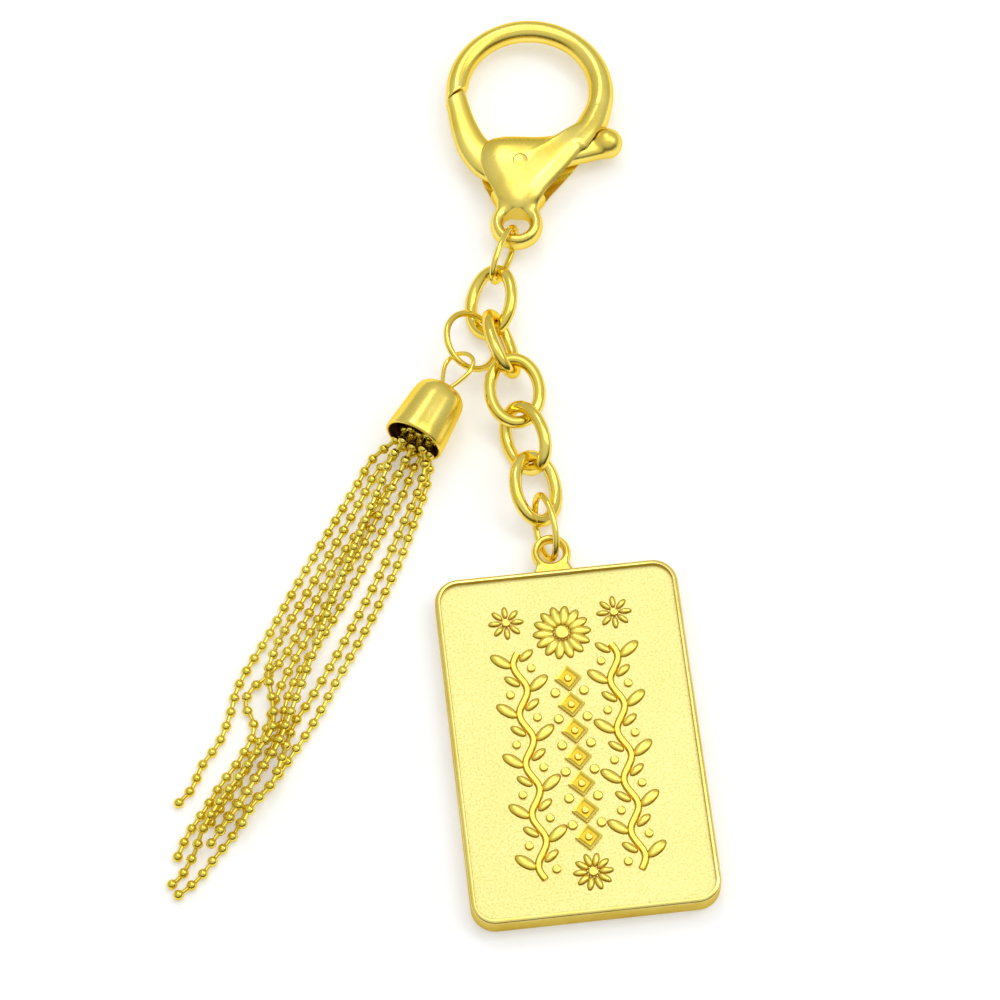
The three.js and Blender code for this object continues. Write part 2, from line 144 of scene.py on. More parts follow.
# Height on the cheek's dome, and the outline's share there
CHEEK_LEVELS = [(0.9, 1.0), (1.75, 0.95), (2.45, 0.83), (3.0, 0.6), (3.3, 0.2)]
SLOT_OUTLINE = [(-16, -19.3), (16, -19.3), (16, -4.6), (5.2, -9.4), (5.2, -7.5), (-16, -7.5)]
SLOT_HALF = 1.8
# Middle line and half width of the lever's two arms
GATE_STATIONS = [
    (-11.9, -0.5, 1.7), (-10.6, -4.4, 1.8), (-9.4, -7.7, 2.1), (-7.7, -10.9, 2.5), (-5.0, -13.4, 2.9),
    (-1.8, -14.4, 3.0),
]
ARM_STATIONS = [
    (-1.2, -14.7, 2.6), (3.2, -12.6, 2.1), (6.5, -11.1, 1.75), (9.8, -9.7, 1.9), (12.2, -8.6, 2.1),
]
# Return spring: where it stands and its coil
SPRING_ACROSS = 2.6
SPRING_START = -18.8
SPRING_RADIUS = 0.85
SPRING_WIRE = 0.18
SPRING_PITCH = 0.82
SPRING_TURNS = 2.25
STEPS_PER_TURN = 24

# Plaque, in millimetres: its corners, its edges' rounding and its bail
PLAQUE_CORNER = 3.6
INNER_ROUND = 0.12
BACK_ROUND = 0.5
BAIL_OUT = 3.1
BAIL_HEIGHT = 2.4
BAIL_RING = 2.325
BAIL_WALL = 0.625
# How many times as tall as wide the bail's section is
BAIL_STRETCH = 1.7
# The bail's foot: distance from the bail's middle, half width and height
BAIL_FOOT = ((-4, 2.95, 1.9), (-3, 2.85, 1.9), (-2, 2.4, 1.8))
# The plaque's finishes, in the order of its material slots
PLAQUE_FINISHES = ("polished_plating", "rim_plating", "field_plating", "groove_plating", "edge_plating")
BAIL_SLOT, RIM_SLOT, FIELD_SLOT, GROOVE_SHADE_SLOT, SIDE_SHADE_SLOT = range(len(PLAQUE_FINISHES))

# Tint of the plating's reflections at a grazing angle
GRAZING_TINT = (1.0, 0.8, 0.3, 1)
# The attribute that carries the ornament's painted light and shade: how far each point stands up, and how
# much a slope to the far side, towards the lamps, counts for that
LIT_SHARE_ATTRIBUTE = "crown"
LAMP_SIDE_LEAN = 0.35

# Ornament on the field, in millimetres
# Height over which the ornament's painted shade at the foot gives way to its painted highlight
FOOT_SHADE_HEIGHT = 0.4
RELIEF_SINK = 0.04
# Rosettes: across, along, radius and number of petals
TOP_ROSETTE = (0, 17.0, 4.4, 14)
FOOT_ROSETTE = (0, -20.6, 3.0, 10)
SIDE_ROSETTE = (8.0, 19.4, 2.7, 8)
# Where the petals stand, as a share of the radius, and the radii that take a petal and a disc as modelled
PETAL_REACH = 0.62
PETAL_SPAN = 2.8
DISC_SPAN = 3.2
PETAL_SHAPE = (1.05, 0.5, 0.46)
DISC_RADIUS = 0.8
DISC_HEIGHT = 0.42
DISC_ROUND = 0.22
LOZENGE_WIDTH = 4.0
LOZENGE_LENGTH = 4.1
LOZENGE_HEIGHT = 0.5
LOZENGE_FRAME = 0.5
LOZENGE_SINK = 0.34
LOZENGE_ROUND = 0.08
# Edges below this height stay sharp
LOZENGE_FOOT = 0.1
LOZENGE_ROWS = 7
LOZENGE_TOP = 9.6
LOZENGE_PITCH = 4.15
# Dots on the lozenges and beside them, as shares of the disc, and where those beside them start
CENTRE_DOT = 0.7
SIDE_DOT = 0.9
DOT_TOP = 7.5
DOT_ACROSS = 2.1
STEM_ACROSS = 6.9
STEM_LOW = -21.0
STEM_HIGH = 14.4
STEM_BENDS = 9
STEM_WAVE = 0.8
STEPS_PER_BEND = 8
# A stem's leaves and berry at each bend: across, along, lean in degrees, scale
STEM_LEAVES = ((2.55, 0.9, -52, 1.75), (-1.25, 1.5, 52, 1.3))
STEM_BERRY = (-1.75, -0.6, 0, 0.8)
RIDGE_SECTION = ((-0.58, 0), (-0.28, 0.42), (0.28, 0.42), (0.58, 0))

# Tassel, in millimetres
CAP_LENGTH = 9.8
# The cap's section: radius, and distance along its axis
CAP_PROFILE = [
    (4.1, -9.8), (4.22, -9.98), (4.45, -10.02), (4.62, -9.9), (4.65, -9.6), (4.58, -8.4), (4.3, -5.0),
    (4.15, -3.0), (4.02, -1.9), (3.75, -1.1), (3.3, -0.55), (2.7, -0.2), (1.9, 0.0), (1.35, 0.05),
    (1.3, -0.25), (1.35, -0.55), (2.5, -0.75), (3.2, -1.3), (3.5, -2.2), (3.6, -3.3), (3.8, -5.6),
    (4.05, -8.8),
]
# One half of the eye wire, from inside the cap to its top, and the top
EYE_HALF = [(0.25, -4.6), (1.15, -3.4), (0.6, -1.6), (0.6, 0.3), (1.5, 2.2), (2.2, 4.6), (1.6, 6.4)]
EYE_TOP = (0, 7.1)
EYE_WIRE = 0.35
ROD_RADIUS = 0.34
ROD_LENGTH = 1.1
# How far a strand runs up inside the cap, and how much it draws in there
STRAND_INSIDE = 3
STRAND_DRAW_IN = 0.03
# The height of a bead that lies on the table
STRAND_LIE = 0.8
# Where each strand leaves the cap's mouth (across, height) and how it lies from there, with a height
# where it isn't on the table
STRANDS = [
    ((-2.7, 3.1), [
        (-24.6, 49.4, 1.4), (-27.5, 45.5), (-32.7, 37.8), (-37.9, 30.1), (-42.9, 22.3), (-48.0, 14.7),
        (-49.6, 10.3), (-51.5, 6.2), (-54.3, 2.8), (-56.0, -0.5), (-58.9, -3.3),
    ]),
    ((-1.4, 2.1), [
        (-24.3, 47.2, 1.0), (-27.0, 43.1), (-32.1, 35.3), (-37.3, 27.5), (-39.9, 23.6, 1.0),
        (-42.1, 19.4, 2.2), (-43.4, 15.6, 2.5), (-43.2, 11.0, 2.4), (-43.5, 7.2, 2.4), (-46.0, 3.6, 2.4),
        (-49.0, 0.0, 2.4), (-52.1, -3.5, 2.4), (-54.8, -7.4, 2.4), (-56.5, -10.9, 1.4), (-58.8, -14.0),
        (-61.0, -15.5),
    ]),
    ((0.15, 1.7), [
        (-24.0, 43.0), (-26.6, 39.6), (-30.6, 34.4), (-35.5, 27.0), (-40.4, 19.4), (-43.3, 16.1),
        (-46.3, 13.8), (-47.2, 11.6), (-46.4, 9.4), (-46.4, 7.2), (-48.6, 3.4), (-51.6, -0.2),
        (-54.3, -3.9), (-57.2, -7.7), (-59.4, -11.8),
    ]),
    ((-1.5, 4.2), [
        (-22.3, 47.8, 3.0), (-24.3, 43.9, 2.4), (-28.6, 35.3, 2.4), (-32.7, 27.0, 2.4), (-36.4, 18.6, 2.4),
        (-40.0, 10.7, 2.4), (-42.9, 4.6, 2.4), (-45.6, 0.8, 2.4), (-49.7, -4.8, 2.4), (-52.4, -8.1, 2.4),
        (-54.6, -10.8, 2.4),
    ]),
    ((0, 3.7), [
        (-20.4, 46.9, 2.7), (-22.9, 42.8, 2.1), (-25.5, 38.7, 1.3), (-28.1, 34.7), (-31.7, 29.6),
        (-35.9, 23.3), (-40.9, 15.6), (-42.8, 12.0), (-44.3, 7.8), (-46.5, 4.2), (-48.6, 0.6),
        (-52.7, -4.7), (-54.4, -7.0),
    ]),
    ((1.65, 2.3), [
        (-18.6, 47.2, 1.4), (-20.8, 43.1), (-25.8, 35.2), (-30.7, 27.4), (-34.6, 21.7), (-38.7, 16.2),
        (-41.0, 12.0), (-42.4, 7.6), (-44.2, 4.2), (-46.6, 0.4), (-50.5, -4.5), (-53.2, -8.2),
    ]),
    ((1.5, 4.5), [
        (-17.0, 46.9, 3.2), (-18.5, 42.7, 2.4), (-20.9, 38.6, 1.6), (-23.9, 33.3), (-28.3, 25.8),
        (-33.2, 18.0), (-38.0, 11.0), (-40.4, 7.9), (-41.6, 5.0, 1.4), (-42.8, 1.6, 2.4),
        (-44.5, -1.8, 2.4), (-47.6, -4.9, 2.4), (-49.8, -8.4, 2.4),
    ]),
    ((2.7, 3.5), [
        (-16.2, 47.4, 2.2), (-17.2, 44.0, 1.0), (-19.9, 37.6), (-22.9, 31.3), (-27.6, 23.1), (-32.6, 15.4),
        (-37.6, 7.6), (-41.0, 3.2), (-44.2, -0.8), (-47.9, -4.1), (-50.4, -8.1), (-53.4, -11.4),
        (-56.5, -14.8), (-60.2, -17.2),
    ]),
]


# Shapes by hand
def select_only(*pieces):
    """Leaves edit mode and selects these pieces alone, the first one active."""
    if bpy.context.mode != "OBJECT":
        bpy.ops.object.mode_set(mode="OBJECT")
    bpy.ops.object.select_all(action="DESELECT")
    for piece in pieces:
        piece.select_set(True)
    if pieces:
        bpy.context.view_layer.objects.active = pieces[0]


def apply_place(piece):
    select_only(piece)
    bpy.ops.object.transform_apply(location=True, rotation=True, scale=True)


def start(add_primitive, scale=(1, 1, 1), **settings):
    """Adds a primitive to shape, with its size and place in its mesh."""
    select_only()
    add_primitive(**settings)
    piece = bpy.context.object
    piece.scale = scale
    apply_place(piece)
    return piece


def edit(piece):
    """Opens a piece in edit mode with all of it selected."""
    select_only(piece)
    bpy.ops.object.mode_set(mode="EDIT")
    bpy.ops.mesh.select_all(action="SELECT")


def leave_edit():
    bpy.ops.object.mode_set(mode="OBJECT")


def face_out():
    """Turns all faces outwards, in edit mode."""
    bpy.ops.mesh.select_all(action="SELECT")
    bpy.ops.mesh.normals_make_consistent(inside=False)


def merge_and_face_out(piece):
    edit(piece)
    bpy.ops.mesh.remove_doubles(threshold=1e-6)
    face_out()
    leave_edit()


def pick_faces(piece, wanted):
    """Selects, in edit mode, the faces that the test accepts."""
    mesh = bmesh.from_edit_mesh(piece.data)
    for face in mesh.faces:
        face.select_set(wanted(face))
    mesh.select_flush_mode()
    bmesh.update_edit_mesh(piece.data)


def pick_edges(piece, wanted):
    """Selects, in edit mode, the edges that the test accepts."""
    bpy.ops.mesh.select_all(action="DESELECT")
    bpy.ops.mesh.select_mode(type="EDGE")
    mesh = bmesh.from_edit_mesh(piece.data)
    for edge in mesh.edges:
        edge.select_set(wanted(edge))
    bmesh.update_edit_mesh(piece.data)


def copy_of(model):
    """A copy of a piece with a mesh of its own."""
    piece = model.copy()
    piece.data = model.data.copy()
    bpy.context.collection.objects.link(piece)
    return piece


def place_matrix(place):
    x, y, z, heading, pitch, roll = place
    turn = Matrix.Rotation(math.radians(heading), 4, "Z")
    turn = turn @ Matrix.Rotation(math.radians(pitch), 4, "X")
    turn = turn @ Matrix.Rotation(math.radians(roll), 4, "Y")
    return Matrix.Translation((x * MM, y * MM, z * MM)) @ turn


def lay(piece, place, degrees=40):
    """Puts a piece in its place and shades it, with edges sharper than this left hard."""
    piece.matrix_world = place_matrix(place)
    apply_place(piece)
    shade(piece, degrees)


def add_modifier(piece, kind, **settings):
    """Adds a modifier with these settings and applies it."""
    select_only(piece)
    modifier = piece.modifiers.new(kind.lower(), kind)
    for key, value in settings.items():
        setattr(modifier, key, value)
    bpy.ops.object.modifier_apply(modifier=modifier.name)


def cut_away(piece, *tools):
    """Cuts the tools out of the piece and deletes them."""
    for tool in tools:
        add_modifier(piece, "BOOLEAN", operation="DIFFERENCE", solver="EXACT", object=tool)
        bpy.data.objects.remove(tool)


def join(*pieces):
    select_only(*pieces)
    bpy.ops.object.join()
    return bpy.context.object


def smooth_casting(piece, voxel, fillet, passes):
    """Runs joined shapes together as one casting, with fillets of this radius in its inner corners."""
    for offset in (fillet, -fillet):
        add_modifier(piece, "REMESH", mode="VOXEL", voxel_size=voxel * MM)
        add_modifier(piece, "DISPLACE", strength=offset * MM, mid_level=0)
    add_modifier(piece, "REMESH", mode="VOXEL", voxel_size=voxel * MM)
    add_modifier(piece, "SMOOTH", factor=0.5, iterations=passes)


def shade(piece, degrees):
    select_only(piece)
    bpy.ops.object.shade_smooth_by_angle(angle=math.radians(degrees))


def hand_over(piece, name, body, slot, finish, *nodes):
    """Names a finished piece, gives it its finish, and puts it on its body in place of its nodes."""
    piece.name = name
    piece.data.name = name
    piece.data.materials.clear()
    piece.data.materials.append(finish_named(finish))
    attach(piece, body)
    if nodes:
        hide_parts(*nodes)


def smooth_route(corners, per_span, closed=False):
    """Points on a smooth curve through the corners."""
    corners = [Vector(corner) for corner in corners]
    if closed:
        ends = [corners[-1], *corners, corners[0], corners[1]]
    else:
        ends = [2 * corners[0] - corners[1], *corners, 2 * corners[-1] - corners[-2]]
    spots = []
    for a, b, c, d in zip(ends, ends[1:], ends[2:], ends[3:]):
        before, here, after = ((q - p).length ** 0.5 for p, q in ((a, b), (b, c), (c, d)))
        out = here * ((b - a) / before - (c - a) / (before + here) + (c - b) / here)
        into = here * ((c - b) / here - (d - b) / (here + after) + (d - c) / after)
        for i in range(per_span):
            t = i / per_span
            rise = 3 * t * t - 2 * t * t * t
            spots.append(b + (c - b) * rise + out * t * (1 - t) ** 2 - into * t * t * (1 - t))
    if not closed:
        spots.append(corners[-1])
    return spots


def loft(rings):
    """Extrudes a closed outline through one ring of points after the other."""
    count = len(rings[0])
    piece = start(bpy.ops.mesh.primitive_circle_add, vertices=count, radius=MM, fill_type="NGON")
    for vertex, spot in zip(piece.data.vertices, rings[0]):
        vertex.co = spot
    edit(piece)
    for previous, ring in zip(rings, rings[1:]):
        bpy.ops.mesh.extrude_region_move()
        mesh = bmesh.from_edit_mesh(piece.data)
        for vertex in mesh.verts:
            if vertex.select:
                nearest = min(range(count), key=lambda i: (previous[i] - vertex.co).length_squared)
                vertex.co = ring[nearest]
        bmesh.update_edit_mesh(piece.data)
    face_out()
    leave_edit()
    return piece


def line_through(spots, widths=None):
    """A curve that runs straight from spot to spot."""
    curve = bpy.data.curves.new("line", "CURVE")
    curve.dimensions = "3D"
    spline = curve.splines.new("POLY")
    spline.points.add(len(spots) - 1)
    for i, spot in enumerate(spots):
        spline.points[i].co = (*spot, 1)
        spline.points[i].radius = widths[i] if widths else 1
    line = bpy.data.objects.new("line", curve)
    bpy.context.collection.objects.link(line)
    return line


def wire_along(spots, radius, sides, widths=None):
    """A round wire along the spots, made a mesh."""
    line = line_through(spots, widths)
    line.data.bevel_depth = radius
    line.data.bevel_resolution = sides
    line.data.use_fill_caps = True
    select_only(line)
    bpy.ops.object.convert(target="MESH")
    piece = bpy.context.object
    merge_and_face_out(piece)
    return piece


# Finishes
class Socket:
    """A shader value that takes part in sums and products."""

    def __init__(self, finish, link):
        self.finish = finish
        self.link = link

    def maths(self, operation, first, second):
        return self.finish.node("ShaderNodeMath", {"operation": operation}, {0: first, 1: second})

    def __add__(self, other):
        return self.maths("ADD", self, other)

    def __radd__(self, other):
        return self.maths("ADD", other, self)

    def __rsub__(self, other):
        return self.maths("SUBTRACT", other, self)

    def __mul__(self, other):
        return self.maths("MULTIPLY", self, other)

    def __rmul__(self, other):
        return self.maths("MULTIPLY", other, self)


class Finish:
    """A node tree that is written as a recipe."""

    def __init__(self, owner):
        owner.use_nodes = True
        self.owner = owner
        self.tree = owner.node_tree
        self.tree.nodes.clear()

    def node(self, kind, settings=None, inputs=None, output=0):
        made = self.tree.nodes.new(kind)
        for key, value in (settings or {}).items():
            if key == "stops":
                elements = made.color_ramp.elements
                while len(elements) < len(value):
                    elements.new(1.0)
                for element, (position, colour) in zip(elements, value):
                    element.position = position
                    element.color = (*colour, 1)
            else:
                setattr(made, key, value)
        for key, value in (inputs or {}).items():
            if isinstance(value, Socket):
                self.tree.links.new(value.link, made.inputs[key])
            else:
                made.inputs[key].default_value = value
        return Socket(self, made.outputs[output])

    def mix(self, amount, first, second):
        first, second = ((*c, 1) if isinstance(c, tuple) else c for c in (first, second))
        return self.node("ShaderNodeMix", {"data_type": "RGBA"}, {0: amount, 6: first, 7: second}, 2)

    def noise(self, size_mm, detail=2.0, vector=None):
        where = vector or self.node("ShaderNodeTexCoord", output="Object")
        inputs = {"Vector": where, "Scale": 1 / MM / size_mm, "Detail": detail}
        return self.node("ShaderNodeTexNoise", None, inputs)

    def span(self, value, low, high, out_low=0.0, out_high=1.0):
        inputs = {0: value, 1: low, 2: high, 3: out_low, 4: out_high}
        return self.node("ShaderNodeMapRange", {"interpolation_type": "SMOOTHSTEP"}, inputs)

    def metal(self, colour, roughness, height=None, depth_mm=0.02, strength=0.3):
        inputs = {"Base Color": colour, "Metallic": 1.0, "Roughness": roughness}
        inputs["Specular Tint"] = GRAZING_TINT
        if height is not None:
            bump = {"Strength": strength, "Distance": depth_mm * MM, "Height": height}
            inputs["Normal"] = self.node("ShaderNodeBump", None, bump)
        self.close(self.node("ShaderNodeBsdfPrincipled", None, inputs))

    def close(self, shader, kind="ShaderNodeOutputMaterial"):
        end = self.tree.nodes.new(kind)
        self.tree.links.new(shader.link, end.inputs["Surface"])


def new_material(name):
    return Finish(bpy.data.materials.new(name))


def polished_gold(name, pale, deep, roughness):
    """Bright plating with faint clouds of colour and hairline handling marks."""
    finish = new_material(name)
    where = finish.node("ShaderNodeTexCoord", output="Object")
    clouds = finish.span(finish.noise(6.0, 3.0, where), 0.3, 0.7)
    stretched = finish.node("ShaderNodeMapping", None, {"Vector": where, "Scale": (1.0, 0.12, 1.0)})
    marks = finish.noise(0.18, 2.0, stretched)
    worn = finish.span(marks, 0.45, 0.75, roughness, roughness + 0.04)
    finish.metal(finish.mix(clouds, pale, deep), worn, marks, depth_mm=0.004, strength=0.05)
    return finish.owner


def stippled_gold(name, pale, deep):
    """Satin plating with the grain of a blasted die."""
    finish = new_material(name)
    grain = finish.noise(0.3, 2.5)
    clouds = finish.noise(9.0, 2.0)
    speck = finish.span(grain, 0.3, 0.56)
    colour = finish.mix(speck * 0.6 + clouds * 0.4, deep, pale)
    finish.metal(colour, 0.5 - 0.08 * speck, grain, depth_mm=0.05, strength=0.55)
    return finish.owner


def relief_gold_with_painted_light(name, pale, deep):
    """Raised ornament with painted light: highlights on crowns and lamp-facing slopes, shade round the
    foot.
    """
    finish = new_material(name)
    crown = finish.node("ShaderNodeAttribute", {"attribute_name": LIT_SHARE_ATTRIBUTE}, output="Fac")
    grain = finish.noise(0.4, 2.0)
    # Painted light: the lit tone on high, lamp-facing points, the painted shade tone at the foot and on
    # slopes facing away
    colour = finish.mix(finish.span(crown + 0.2 * grain, 0.25, 1.05), deep, pale)
    finish.metal(colour, 0.36 - 0.1 * crown, grain, depth_mm=0.02, strength=0.35)
    return finish.owner


def bright_steel(name, pale, deep):
    finish = new_material(name)
    grain = finish.noise(0.25, 2.0)
    finish.metal(finish.mix(grain, pale, deep), 0.2 + 0.15 * grain)
    return finish.owner


# Each finish by name: its recipe, its pale tone, its deep tone, the share of that tone, its roughness
FINISHES = {
    "polished_plating": (polished_gold, "gold_pale", "gold_deep", 1, 0.13),
    "lever_plating": (polished_gold, "gold_pale", "gold_deep", 1, 0.28),
    "cast_plating": (polished_gold, "gold_pale", "gold_deep", 1, 0.24),
    # Partly a satin finish, partly painted shade: the plaque's side is a darker copy of the gold
    "edge_plating": (polished_gold, "edge_pale", "edge_deep", 1, 0.4),
    "rim_plating": (polished_gold, "rim_pale", "rim_deep", 1, 0.2),
    # Painted shade: the recess wall is a darker copy of the gold
    "groove_plating": (polished_gold, "groove", "groove", 0.7, 0.3),
    # Painted shade: the cap's inside is a dark copy of the gold
    "cap_lining": (polished_gold, "cap_dark", "cap_dark", 0.6, 0.5),
    "bead_plating": (polished_gold, "bead_pale", "bead_deep", 1, 0.1),
    "field_plating": (stippled_gold, "field_pale", "field_deep", 1),
    # The relief's colour carries painted light and shade
    "relief_plating": (relief_gold_with_painted_light, "relief_pale", "relief_deep", 1),
    "coil_steel": (bright_steel, "steel", "steel", 0.8),
}


def finish_named(name):
    """The material of that name, made the first time it is asked for."""
    found = bpy.data.materials.get(name)
    if found:
        return found
    recipe, pale, deep, share, *roughness = FINISHES[name]
    return recipe(name, tone(pale), tone(deep, share), *roughness)


# Settings
def size(name, description, default):
    return bpy.props.FloatProperty(name=name, description=description, default=default * MM, unit="LENGTH")


def tint(name, description, default):
    return bpy.props.FloatVectorProperty(
        name=name, description=description, default=default, size=3, min=0, max=1, subtype="COLOR"
    )


class KEYCHAIN_PG_sizes(bpy.types.PropertyGroup):
    link_wire: size("Link wire", "Radius of the chain links' wire", 0.95)
    link_length: size("Link length", "Outer length of a chain link", 12.4)
    link_width: size("Link width", "Outer width of a chain link", 9.4)
    jump_wire: size("Jump wire", "Radius of the jump links' wire", 0.5)
    jump_length: size("Jump length", "Outer length of a jump link", 10.8)
    jump_width: size("Jump width", "Outer width of a jump link", 7.0)
    ring_radius: size("Ring radius", "Radius of the tassel ring at the middle of its wire", 4.5)
    bow_radius: size("Bow radius", "Radius of the clasp's bow at the middle of its wire", 11.3)
    bow_wire: size("Bow wire", "Radius of the bow's wire at its tip", 1.75)
    bead_radius: size("Bead radius", "Radius of a ball-chain bead", 0.79)
    bead_pitch: size("Bead pitch", "Distance from bead to bead", 2.33)
    plaque_width: size("Plaque width", "Outer width of the plaque", 36.0)
    plaque_length: size("Plaque length", "Outer length of the plaque without its bail", 54.2)
    plaque_thick: size("Plaque thickness", "Thickness of the plaque over its rim", 3.6)
    plaque_rim: size("Rim width", "Width of the plaque's raised rim", 0.9)
    plaque_round: size("Rim rounding", "Radius of the rim's outer edge", 0.5)
    plaque_recess: size("Recess", "Depth of the field below the rim", 0.6)


class KEYCHAIN_PG_colours(bpy.types.PropertyGroup):
    gold_pale: tint("Pale gold", "Lighter tone of the polished plating", (0.95, 0.78, 0.18))
    gold_deep: tint("Deep gold", "Darker tone of the polished plating", (0.9, 0.69, 0.11))
    bead_pale: tint("Pale bead", "Lighter tone of the ball chain", (0.92, 0.78, 0.15))
    bead_deep: tint("Deep bead", "Darker tone of the ball chain", (0.82, 0.64, 0.075))
    # The plaque's side: a satin finish whose darker tone is painted shade
    edge_pale: tint("Pale edge", "Lighter tone of the plaque's satin side", (0.75, 0.61, 0.18))
    edge_deep: tint("Deep edge", "Darker tone of the plaque's satin side", (0.63, 0.48, 0.1))
    field_pale: tint("Pale field", "Lighter tone of the plaque's field", (0.86, 0.8, 0.35))
    field_deep: tint("Deep field", "Darker tone of the plaque's field", (0.71, 0.64, 0.15))
    rim_pale: tint("Pale rim", "Lighter tone of the plaque's rim", (0.94, 0.79, 0.26))
    rim_deep: tint("Deep rim", "Darker tone of the plaque's rim", (0.89, 0.71, 0.17))
    # Painted shade on the recess wall between rim and field
    groove: tint("Groove", "Tone of the wall between rim and field", (0.62, 0.43, 0.06))
    # The relief's tones: a painted highlight on its tops, painted shade on its foot and on sides facing
    # away from the lamps
    relief_pale: tint("Pale relief", "Tone of the raised ornament's tops", (0.96, 0.8, 0.15))
    relief_deep: tint("Deep relief", "Tone of the raised ornament's sides", (0.67, 0.42, 0.01))
    # Painted shade inside the cap's hollow
    cap_dark: tint("Cap inside", "Tone of the cap's dull inside", (0.22, 0.11, 0.02))
    steel: tint("Steel", "Tone of the return spring", (0.62, 0.6, 0.56))
    floor: tint("Floor", "Colour of the table", (0.97, 0.97, 0.97))


def sizes():
    return bpy.context.scene.keychain_sizes


def tone(key, share=1):
    """One of the colours, or a darker share of it."""
    return tuple(part * share for part in getattr(bpy.context.scene.keychain_colours, key))


def field_level():
    """Height of the plaque's sunk field."""
    return sizes().plaque_thick - sizes().plaque_recess


# Stage
def aim(piece, spot, target):
    """Puts a lamp or the camera at its spot, facing the target."""
    piece.location = spot
    piece.rotation_euler = (Vector(target) - piece.location).to_track_quat("-Z", "Y").to_euler()
    bpy.context.collection.objects.link(piece)


class KEYCHAIN_OT_stage(bpy.types.Operator):
    """Lays the pale table, the soft lamps and the camera"""

    bl_idname = "keychain.stage"
    bl_label = "Stage"

    def execute(self, context):
        table = start(bpy.ops.mesh.primitive_plane_add, size=TABLE_WIDTH, location=(0, 0, -TABLE_DROP))
        table.name = "table"
        table.data.materials.append(self.table_finish())
        self.sky(context.scene)
        for name, (spot, width, watts) in LAMPS.items():
            lamp = bpy.data.lights.new(name, "AREA")
            lamp.size = width
            lamp.energy = watts
            aim(bpy.data.objects.new(name, lamp), spot, LAMP_AIM)
        camera = bpy.data.cameras.new("camera")
        camera.lens = CAMERA_LENS
        camera.sensor_width = 36
        camera.clip_start = 0.01
        eye = bpy.data.objects.new("camera", camera)
        aim(eye, CAMERA_SPOT, CAMERA_AIM)
        context.scene.camera = eye
        context.scene.view_settings.view_transform = "Standard"
        return {"FINISHED"}

    def table_finish(self):
        finish = new_material("table_white")
        colour = finish.mix(finish.noise(40.0, 2.0), tone("floor"), tone("floor", 0.985))
        lit = finish.node("ShaderNodeBsdfDiffuse", None, {"Color": colour})
        camera, glossy, through = (finish.node("ShaderNodeLightPath", output=ray) for ray in SEEN_RAYS)
        strength = (camera + glossy + through) * TABLE_GLOW
        glow = finish.node("ShaderNodeEmission", None, {"Color": (1, 1, 1, 1), "Strength": strength})
        finish.close(finish.node("ShaderNodeAddShader", None, {0: lit, 1: glow}))
        return finish.owner

    def sky(self, scene):
        """A soft tent that is brightest overhead and dark low down on the camera's side."""
        scene.world = bpy.data.worlds.new("studio")
        finish = Finish(scene.world)
        way = finish.node("ShaderNodeTexCoord", output="Generated")
        up = finish.node("ShaderNodeSeparateXYZ", None, {"Vector": way}, "Z")
        ahead = finish.node("ShaderNodeSeparateXYZ", None, {"Vector": way}, "Y")
        stops = [(height, (level, level, level)) for height, level in TENT]
        tent = finish.node("ShaderNodeValToRGB", {"stops": stops}, {"Fac": up})
        low = finish.span(up, 0.2, 0.7, 1.0, 0.0)
        near = finish.span(ahead, -0.6, -0.1, 1.0, 0.0)
        colour = finish.mix(low * near * 0.95, tent, DARK_CORNER)
        light = finish.node("ShaderNodeBackground", None, {"Color": colour, "Strength": 1.0})
        finish.close(light, "ShaderNodeOutputWorld")


# Tassel
def cap_axes():
    """The cap's way out of its mouth, its way across, and the middle of its mouth."""
    turn = place_matrix(CAP_PLACE)
    out = turn.to_3x3() @ Vector((0, -1, 0))
    across = turn.to_3x3() @ Vector((1, 0, 0))
    return out, across, turn.translation + out * CAP_LENGTH * MM


class KEYCHAIN_OT_strands(bpy.types.Operator):
    """Lays the ball-chain strands from the cap's mouth along the table"""

    bl_idname = "keychain.strands"
    bl_label = "Tassel strands"

    def execute(self, context):
        for number, (leaves, route) in enumerate(STRANDS, 1):
            self.strand(number, leaves, route)
        return {"FINISHED"}

    def bead(self, pitch):
        """One bead and the short rod that leads to it."""
        along = (0, math.pi / 2, 0)
        ball = start(
            bpy.ops.mesh.primitive_uv_sphere_add, segments=10, ring_count=6, radius=sizes().bead_radius,
            location=(pitch / 2, 0, 0), rotation=along,
        )
        rod = start(
            bpy.ops.mesh.primitive_cylinder_add, vertices=6, radius=ROD_RADIUS * MM, depth=ROD_LENGTH * MM,
            end_fill_type="NOTHING", rotation=along,
        )
        return join(ball, rod)

    def strand(self, number, leaves, route):
        out, across, mouth = cap_axes()
        leave = mouth + across * leaves[0] * MM
        leave.z = leaves[1] * MM
        inside = (leave - out * STRAND_INSIDE * MM).lerp(mouth, STRAND_DRAW_IN)
        laid = [Vector((*spot, STRAND_LIE)[:3]) * MM for spot in route]
        spots = smooth_route([inside, leave, *laid], per_span=12)
        length = sum((b - a).length for a, b in zip(spots, spots[1:]))
        count = round(length / sizes().bead_pitch)
        pitch = length / count
        piece = self.bead(pitch)
        line = line_through(spots)
        add_modifier(
            piece, "ARRAY", count=count, use_relative_offset=False, use_constant_offset=True,
            constant_offset_displace=(pitch, 0, 0),
        )
        add_modifier(piece, "CURVE", object=line, deform_axis="POS_X")
        bpy.data.objects.remove(line)
        select_only(piece)
        bpy.ops.object.shade_smooth()
        node = f"tassel_strand_{number}"
        hand_over(piece, f"ball_chain_{number}", "tassel", "gold_beads", "bead_plating", node)


